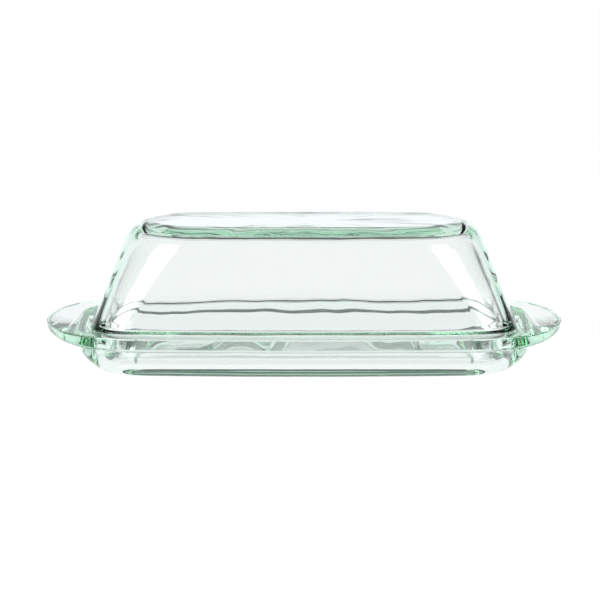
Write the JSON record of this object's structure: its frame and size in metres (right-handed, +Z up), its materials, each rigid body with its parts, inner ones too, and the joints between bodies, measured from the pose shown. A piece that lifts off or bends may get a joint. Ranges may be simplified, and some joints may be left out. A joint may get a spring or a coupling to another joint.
{
  "type": "covered butter dish",
  "caption": "Long shallow pressed-glass butter dish with a rounded tab handle at each end and a tapered, round-cornered lift-off glass cover.",
  "frame": {"origin": "on the table, under the centre of the dish", "axes": "+X along the dish towards one tab, +Y across it, +Z up out of the table"},
  "size_m": [0.2034, 0.0892, 0.0557],
  "materials": {
    "dish_glass": "fire-polished pressed glass, faint green",
    "cover_glass": "fire-polished pressed glass, faint green"
  },
  "bodies": {
    "dish": {"dish": "dish_glass"},
    "cover": {"cover": "cover_glass"}
  },
  "joints": [
    {"name": "cover_lift", "type": "slide", "parent": "dish", "child": "cover", "axis": [0, 0, 1], "range_m": [0, 0.08]}
  ]
}
